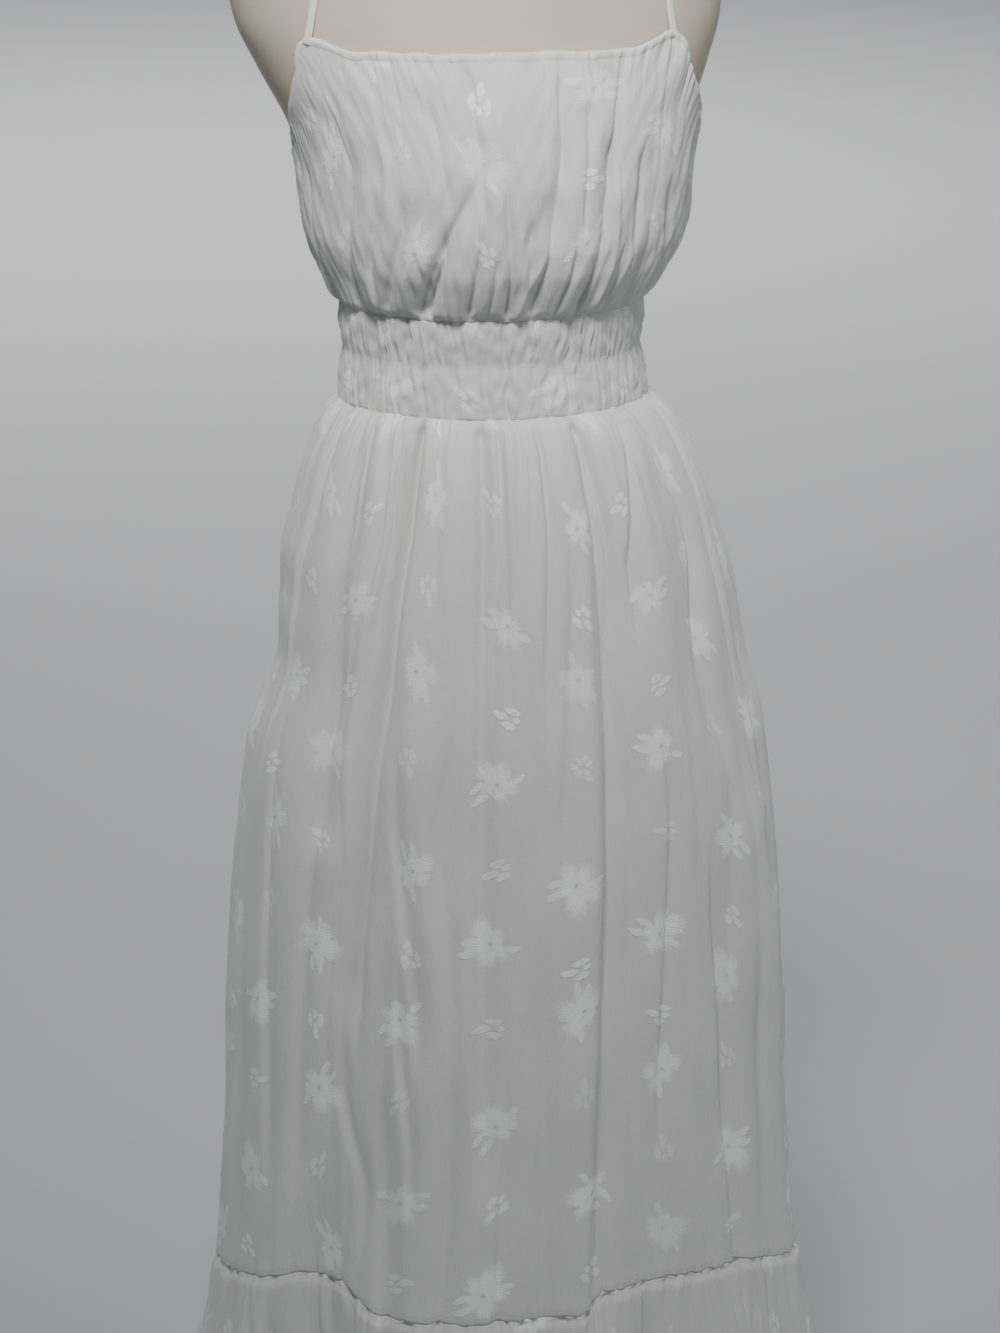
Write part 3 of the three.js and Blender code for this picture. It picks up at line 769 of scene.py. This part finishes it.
# Ellipses beside a flower's middle, in millimetres.
LEAVES = table("along aside long wide", (20, 4, 9, 3.2), (17, -6, 8, 3), (-19, 5, 7, 3))
SPRIG = table("along aside long wide", (7, 0, 8, 3), (-3, 6, 7, 3.2), (-4, -6, 7, 3), (-9, 0, 4, 2.4))


def layout(finish, u, v, rise):
    """Half-drop cells, jittered and turned: the place in a cell and three chances of its own."""
    across = u / FLOWER_ACROSS
    column = across.floor()
    up = v / FLOWER_UP + (column % 2) * 0.5 + rise
    row = up.floor()
    cell = finish.vector(column, row)
    chance = finish.value("ShaderNodeTexWhiteNoise", {"noise_dimensions": "2D"}, {"Vector": cell}, "Color")
    first, second, third = finish.split(chance)
    x = (across - column - 0.5) * FLOWER_ACROSS + (first - 0.5) * STRAY_ACROSS
    y = (up - row - 0.5) * FLOWER_UP + (second - 0.5) * STRAY_UP
    turn = (first + second + third) * FULL_TURN
    cos, sin = turn.cos(), turn.sin()
    return x * cos + y * sin, y * cos - x * sin, first, second, third


def ellipses(shapes, along, aside, ragged):
    """A cluster of ragged ellipses."""
    masks = []
    for start, side, long, wide in zip(*shapes.values()):
        a = (along - start * MM) / (long * MM)
        b = (aside - side * MM) / (wide * MM)
        masks.append((a * a + b * b + (ragged - 0.5) * SPRIG_RAGGED).step(1.5, 0.5))
    total = masks[0]
    for mask in masks[1:]:
        total = total.larger(mask)
    return total


def flowers_and_sprigs(finish, u, v):
    """Five-petalled flowers with leaves, small sprigs between them, and their satin threads."""
    at = finish.vector(u, v)
    ragged = finish.noise(at, 240.0, 4.0, 0.7)
    mottle = finish.noise(at, 700.0, 2.0).step(0.3, 0.62)
    along, aside, first, second, third = layout(finish, u, v, 0.0)
    angle = aside.angle_to(along)
    radius = (along * along + aside * aside) ** 0.5
    petals = abs((angle * 2.5).cos()) ** 0.5
    uneven = (angle + second * FULL_TURN).sin() * 0.2 + (angle * 2.0 + third * FULL_TURN).sin() * 0.14 + 1.0
    reach = (petals * 0.42 + 0.6) * uneven * (first * 0.3 + 0.75) * FLOWER_RADIUS
    eye = radius.step(0.0008, 0.0026)
    flower = ((radius + (ragged - 0.5) * FLOWER_RAGGED) / reach).step(1.28, 0.62) * eye
    flower = flower.larger(ellipses(LEAVES, along, aside, ragged) * 0.75) * (third * 0.4 + 0.65)
    along, aside, first, second, third = layout(finish, u, v, 0.5)
    sprig = ellipses(SPRIG, along, aside, ragged) * (second * 0.6 + 0.35)
    threads = (angle * 40.0 + radius * 900.0).sin() * 0.5 + 0.5
    return flower.larger(sprig) * (mottle * 0.3 + 0.7), threads


def cloth_finish(name, colour, flower_colour):
    """Fine white cloth with satin flowers, mapped in flat metres."""
    f = Finish(name)
    u, v, _ = f.split(f.uv())
    flowers, threads = flowers_and_sprigs(f, u, v)
    slub = f.noise(f.vector(u * 900.0, v * 60.0), 1.0, 2.0)
    slub_across = f.noise(f.vector(u * 60.0, v * 900.0), 1.0, 2.0)
    cloud = f.noise(f.vector(u * 22.0, v * 8.0), 1.0, 4.0, 0.6).step(0.3, 0.7)
    weave = (u * 5200.0).sin() * (v * 5200.0).sin()
    crinkle = f.noise(f.vector(u * 240.0, v * 40.0), 1.0, 4.0, 0.62)
    yarn = (slub + slub_across) * 0.5
    ground = f.blend(cloud, rgb(colour, 0.92), rgb(colour, 1.0))
    ground = f.blend(yarn.step(0.25, 0.75), f.blend(0.5, ground, rgb(colour, 0.86)), ground)
    satin = f.blend(threads, rgb(flower_colour), rgb(flower_colour, 0.88))
    rough = 0.82 - flowers * 0.34 + (slub - 0.5) * 0.1
    relief = crinkle + weave * 0.05 + yarn * 0.3 + flowers * (threads * 0.22 + 0.5)
    return f.surface(
        Base_Color=f.blend(flowers, ground, satin),
        Roughness=rough,
        Normal=f.bump(relief, 0.0009, 0.7),
        Sheen_Weight=0.25,
        Sheen_Roughness=0.5,
    )


def trim_finish(name, colour):
    """Fine ribbed cream weave."""
    f = Finish(name)
    at = f.place()
    x, y, z = f.split(at)
    rib = ((x + z) * 6500.0).sin() * ((y - z) * 6500.0).sin()
    slub = f.noise(at, 900.0, 3.0)
    cloud = f.noise(at, 40.0, 2.0)
    shade = f.blend(slub * 0.7 + cloud * 0.3, rgb(colour, 0.86), rgb(colour, 1.04))
    normal = f.bump(rib * 0.3 + slub, 0.0004, 0.7)
    return f.surface(Base_Color=shade, Roughness=0.78 + (slub - 0.5) * 0.2, Normal=normal, Sheen_Weight=0.2)


def form_finish(name, colour):
    """Smooth satin paint with a faint mottle and soft marks of handling."""
    f = Finish(name)
    at = f.place()
    cloud = f.noise(at, 5.0, 3.0, 0.6)
    speck = f.noise(at, 420.0, 2.0)
    scuffs = f.noise(at, 60.0, 4.0, 0.7).step(0.62, 0.78)
    paint = f.blend(cloud, rgb(colour, 0.92), rgb(colour, 1.05))
    worn = f.blend(scuffs * 0.25, paint, rgb(colour, 0.8))
    rough = 0.42 + (cloud - 0.5) * 0.12 + scuffs * 0.12
    normal = f.bump(speck * 0.4 + f.noise(at, 90.0) * 0.6, 0.00025, 0.5)
    return f.surface(Base_Color=worn, Roughness=rough, Normal=normal)


def metal_finish(name, colour):
    """Satin powder coat."""
    f = Finish(name)
    at = f.place()
    grain = f.noise(at, 1400.0, 2.0)
    cloud = f.noise(at, 14.0, 3.0)
    rubbed = f.noise(at, 50.0, 5.0, 0.7).step(0.6, 0.8)
    coat = f.blend(cloud, rgb(colour, 0.88), rgb(colour, 1.05))
    coat = f.blend(rubbed * 0.3, coat, rgb(colour, 0.7))
    normal = f.bump(grain, 0.0003, 0.5)
    return f.surface(Base_Color=coat, Roughness=0.4 + cloud * 0.16, Metallic=rubbed * 0.2, Normal=normal)


def floor_finish(name, colour):
    """Matt paper with a hardly seen unevenness."""
    f = Finish(name)
    cloud = f.noise(f.place(), 0.7, 3.0)
    shade = f.blend(cloud, rgb(colour, 0.97), rgb(colour, 1.03))
    return f.surface(Base_Color=shade, Roughness=0.9 - cloud * 0.05)


# ---- properties
def length(name, description, default, low, high):
    return bpy.props.FloatProperty(
        name=name, description=description, default=default, min=low, max=high, unit="LENGTH"
    )


def angle(name, description, default):
    return bpy.props.FloatProperty(
        name=name, description=description, default=math.radians(default), unit="ROTATION"
    )


def colour(name, description, default):
    return bpy.props.FloatVectorProperty(
        name=name, description=description, default=default, size=3, min=0.0, max=1.0, subtype="COLOR"
    )


class DressSizes(bpy.types.PropertyGroup):
    """Sizes of the cloth and the straps, and where the camera is"""

    cloth_thickness: length("Cloth thickness", "Thickness of the dress's cloth", 0.0011, 0.0003, 0.003)
    strap_width: length("Strap width", "Width of each shoulder strap", 0.006, 0.003, 0.02)
    strap_thickness: length("Strap thickness", "Thickness of each shoulder strap", 0.002, 0.001, 0.004)
    camera_distance: length("Camera distance", "Level distance from dress to camera", 2.55, 1.0, 10.0)
    camera_height: length("Camera height", "Height of the camera above the floor", 1.635, 0.1, 4.0)
    camera_turn: angle("Camera turn", "Angle of the camera round the dress", -7)
    camera_tilt: angle("Camera tilt", "Angle of the view below the level", 18.5)


class DressColours(bpy.types.PropertyGroup):
    """Colours of the dress, the form, the stand and the floor"""

    cloth: colour("Cloth", "Ground colour of the cloth", (0.66, 0.665, 0.65))
    flowers: colour("Flowers", "Colour of the satin flowers", (0.98, 0.985, 0.975))
    edge: colour("Bound edge", "Colour of the bound neck edge", (0.72, 0.715, 0.68))
    trim: colour("Straps", "Colour of the straps", (0.78, 0.745, 0.655))
    form: colour("Dress form", "Colour of the dress form", (0.5, 0.445, 0.365))
    metal: colour("Stand", "Colour of the stand", (0.4, 0.4, 0.41))
    floor: colour("Floor", "Colour of the floor", (0.42, 0.42, 0.43))


# ---- operators
HALVES = ("front", "back")
NO_HALVES = (None, None)
FLOOR_SIZE = 60.0
# Soft lamps: name, place, aim, size, power, and the angle of their beam in degrees.
LAMPS = (
    ("key", (-0.34, -1.4, 2.95), (0, 0.1, 1.6), 0.55, 14, 70),
    ("fill", (2.4, -2.0, 1.9), (0, 0, 1.3), 1.6, 7, 120),
    ("rim", (1.8, 2.0, 2.4), (0, 0, 1.0), 1.6, 14, 180),
    ("backdrop", (0, 6.8, 4.6), (0, 8.6, 0), 6.0, 560, 180),
)
ROOM_COLOUR, ROOM_STRENGTH = (0.83, 0.85, 0.88, 1), 0.27
SENSOR, LENS = 36, 89.1  # millimetres
CAMERA_ASIDE = 0.0037
# Cells across and up each panel, front and back.
BODICE_CELLS, WAISTBAND_CELLS = ((370, 100), (290, 62)), ((400, 44), (320, 36))
SKIRT_CELLS, FLOUNCE_CELLS = ((400, 116), (300, 90)), ((430, 54), (370, 44))
EDGE_CELLS, TORSO_CELLS, CAP_CELLS = (400, 10), (100, 130), (96, 24)
# Where each level's map starts, in metres, so that the flowers run on from level to level.
BODICE_MAP, WAISTBAND_MAP, SKIRT_MAP, FLOUNCE_MAP = 1.42, 1.24, 0.335, 0.0
EDGE_FLAT = (0.48, 0.014)


def settings(context):
    return context.scene.dress_sizes, context.scene.dress_colours


class DRESS_OT_make_stage(bpy.types.Operator):
    """Adds the floor, the soft lights and the camera"""

    bl_idname = "dress.make_stage"
    bl_label = "Make stage"

    def execute(self, context):
        sizes, colours = settings(context)
        bm = bmesh.new()
        bmesh.ops.create_grid(bm, x_segments=4, y_segments=4, size=FLOOR_SIZE)
        floor = new_object("floor", bm)
        floor.data.materials.append(floor_finish("floor_paper", colours.floor))
        for name, place, aim, size, power, spread in LAMPS:
            lamp = bpy.data.lights.new(name, "AREA")
            lamp.size = size
            lamp.energy = power
            lamp.spread = math.radians(spread)
            light = bpy.data.objects.new(name, lamp)
            light.location = place
            light.rotation_euler = (Vector(aim) - Vector(place)).to_track_quat("-Z", "Y").to_euler()
            context.scene.collection.objects.link(light)
        world = bpy.data.worlds.new("studio")
        world.use_nodes = True
        room = world.node_tree.nodes["Background"]
        room.inputs["Color"].default_value = ROOM_COLOUR
        room.inputs["Strength"].default_value = ROOM_STRENGTH
        context.scene.world = world
        data = bpy.data.cameras.new("camera")
        data.sensor_width = SENSOR
        data.lens = LENS
        camera = bpy.data.objects.new("camera", data)
        turn, away = sizes.camera_turn, sizes.camera_distance
        aside = Vector((math.cos(turn), math.sin(turn), 0)) * CAMERA_ASIDE
        place = Vector((away * math.sin(turn), -away * math.cos(turn), sizes.camera_height))
        camera.location = place + aside
        camera.rotation_euler = (math.pi / 2 - sizes.camera_tilt, 0, turn)
        context.scene.collection.objects.link(camera)
        context.scene.camera = camera
        return {"FINISHED"}


class DRESS_OT_make_form(bpy.types.Operator):
    """Adds the smooth dress form and the cap on its neck"""

    bl_idname = "dress.make_form"
    bl_label = "Make dress form"

    def execute(self, context):
        paint = form_finish("form_paint", context.scene.dress_colours.form)

        def torso(u, v):
            height = FORM_BOTTOM + (NECK_TOP - FORM_BOTTOM) * v
            ends = 3.0 * (np.exp(-(height - FORM_BOTTOM) / 1.5) + np.exp(-(NECK_TOP - height) / 1.0))
            return section_point(FORM, ALL_ROUND * u, height, ends)

        def cap(u, v):
            low, high = level("form_neck_cap", 0), level("form_neck_cap", 1)
            height = low + (high - low) * v
            inset = 1.8 * np.exp(-(height - low) / 0.7) + 3.0 * np.exp(-(high - height) / 1.2)
            points = section_point(FORM, ALL_ROUND * u, NECK_TOP + 0 * height, inset - 0.4)
            points[..., 2] = height
            return points

        finish_piece(closed_tube("torso", torso, *TORSO_CELLS), "form", paint, "form_torso")
        finish_piece(closed_tube("neck_cap", cap, *CAP_CELLS), "form", paint, "form_neck_cap")
        return {"FINISHED"}


def turned_size(node):
    """The radius, lowest and highest point of a turned CAD node, in millimetres."""
    low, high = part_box(node)
    return high[0] / MM, low[2] / MM, high[2] / MM


class DRESS_OT_make_stand(bpy.types.Operator):
    """Adds the collar, pole, hub and base plate under the dress form"""

    bl_idname = "dress.make_stand"
    bl_label = "Make stand"

    def execute(self, context):
        coat = metal_finish("stand_coat", context.scene.dress_colours.metal)

        def turn(name, node, bevel, outline):
            wide, low, high = turned_size(node)
            profile = [(0, low), *outline(wide, low, high), (0, high)]
            finish_piece(turned_piece(name, profile, bevel), "stand", coat, node)

        turn("base_plate", "stand_base", 1.2, lambda r, low, high: [(r, low), (r, high - 3), (r - 3, high)])
        turn("hub", "stand_hub", 1.5, lambda r, low, high: [(r, low), (r - 6, low + 10), (r - 10, high)])
        turn("pole", "stand_pole", 0.8, lambda r, low, high: [(r, low), (r, high)])
        turn("collar", "form_collar", 1.0, lambda r, low, high: [(r - 8, low), (r, low + 6), (r, high)])
        return {"FINISHED"}


def make_cloth(context, name, surface, cells, flats, origin, edges=NO_HALVES, areas=NO_HALVES):
    """Adds the front and back panels of one level of the dress, each mapped in its flat size."""
    sizes, colours = settings(context)
    cloth = bpy.data.materials.get("flowered_cloth")
    if cloth is None:
        cloth = cloth_finish("flowered_cloth", colours.cloth, colours.flowers)
    thickness = sizes.cloth_thickness
    for half, cell, flat, area, edge in zip(HALVES, cells, flats, areas, edges):
        piece = cloth_panel(f"{name}_{half}_cloth", surface, half == "front", cell, thickness, flat, origin)
        finish_piece(piece, "cloth", cloth, f"{name}_{half}")


class DRESS_OT_make_bodice(bpy.types.Operator):
    """Adds the gathered bodice and its bound edge"""

    bl_idname = "dress.make_bodice"
    bl_label = "Make bodice"

    def execute(self, context):
        sizes, colours = settings(context)
        flats, areas = ((0.56, 0.225), (0.46, 0.14)), (0.105, 0.062)
        thickness = sizes.cloth_thickness / 3
        edging = trim_finish("edge_weave", colours.edge)
        edges = []
        for half in HALVES:
            front = half == "front"
            bound = cloth_panel(f"neck_edge_{half}", binding_point, front, EDGE_CELLS, thickness, EDGE_FLAT)
            edges.append(finish_piece(bound, "trim", edging, f"neck_binding_{half}"))
        make_cloth(context, "bodice", bodice_point, BODICE_CELLS, flats, BODICE_MAP, edges, areas)
        return {"FINISHED"}


class DRESS_OT_make_straps(bpy.types.Operator):
    """Adds the two shoulder straps"""

    bl_idname = "dress.make_straps"
    bl_label = "Make straps"

    def execute(self, context):
        sizes, colours = settings(context)
        weave = trim_finish("strap_weave", colours.trim)
        width, thickness = sizes.strap_width / MM, sizes.strap_thickness / MM
        for name, side in (("left", 1), ("right", -1)):
            piece = strap_piece(f"shoulder_strap_{name}", side, width, thickness)
            finish_piece(piece, "trim", weave, f"strap_{name}")
        return {"FINISHED"}


class DRESS_OT_make_waistband(bpy.types.Operator):
    """Adds the shirred waistband"""

    bl_idname = "dress.make_waistband"
    bl_label = "Make waistband"

    def execute(self, context):
        flats = ((0.46, 0.088), (0.46, 0.088))
        make_cloth(context, "waistband", waistband_point, WAISTBAND_CELLS, flats, WAISTBAND_MAP)
        return {"FINISHED"}


class DRESS_OT_make_skirt(bpy.types.Operator):
    """Adds the gathered skirt"""

    bl_idname = "dress.make_skirt"
    bl_label = "Make skirt"

    def execute(self, context):
        flats = ((0.78, 0.77), (0.8, 0.77))
        make_cloth(context, "skirt", skirt_point, SKIRT_CELLS, flats, SKIRT_MAP)
        return {"FINISHED"}


class DRESS_OT_make_flounce(bpy.types.Operator):
    """Adds the gathered flounce round the hem"""

    bl_idname = "dress.make_flounce"
    bl_label = "Make flounce"

    def execute(self, context):
        flats = ((1.05, 0.22), (1.05, 0.22))
        make_cloth(context, "flounce", flounce_point, FLOUNCE_CELLS, flats, FLOUNCE_MAP)
        return {"FINISHED"}


class DRESS_OT_make_stitches(bpy.types.Operator):
    """Adds the stitches along the hem, the seams and the waistband"""

    bl_idname = "dress.make_stitches"
    bl_label = "Make stitches"

    def execute(self, context):
        thread = trim_finish("thread", context.scene.dress_colours.edge)
        for name, surface, share, pitch in (
            ("hem", flounce_point, 0.075, 0.0042),
            ("tier", skirt_point, 0.009, 0.004),
            ("waist_low", waistband_point, 0.03, 0.0036),
            ("waist_middle", waistband_point, BAND_MIDDLE, 0.0036),
            ("waist_top", waistband_point, 0.96, 0.0036),
        ):
            finish_piece(stitch_line(f"{name}_stitches", surface, share, pitch), "cloth", thread)
        return {"FINISHED"}


OPERATORS = (
    DRESS_OT_make_stage,
    DRESS_OT_make_form,
    DRESS_OT_make_stand,
    DRESS_OT_make_bodice,
    DRESS_OT_make_straps,
    DRESS_OT_make_waistband,
    DRESS_OT_make_skirt,
    DRESS_OT_make_flounce,
    DRESS_OT_make_stitches,
)


class DRESS_PT_panel(bpy.types.Panel):
    """Lists the sizes, the colours and the pieces"""

    bl_idname = "DRESS_PT_panel"
    bl_label = "Maxi dress"
    bl_space_type = "VIEW_3D"
    bl_region_type = "UI"
    bl_category = "Dress"

    def draw(self, context):
        for group in settings(context):
            for name in group.bl_rna.properties.keys():
                if name not in ("rna_type", "name"):
                    self.layout.prop(group, name)
        for operator in OPERATORS:
            self.layout.operator(operator.bl_idname)


CLASSES = (DressSizes, DressColours, *OPERATORS, DRESS_PT_panel)


def register():
    for each in CLASSES:
        bpy.utils.register_class(each)
    bpy.types.Scene.dress_sizes = bpy.props.PointerProperty(type=DressSizes)
    bpy.types.Scene.dress_colours = bpy.props.PointerProperty(type=DressColours)


def unregister():
    del bpy.types.Scene.dress_colours
    del bpy.types.Scene.dress_sizes
    for each in reversed(CLASSES):
        bpy.utils.unregister_class(each)


def main():
    register()
    for operator in OPERATORS:
        group, name = operator.bl_idname.split(".")
        getattr(getattr(bpy.ops, group), name)()


if __name__ == "__main__":
    main()
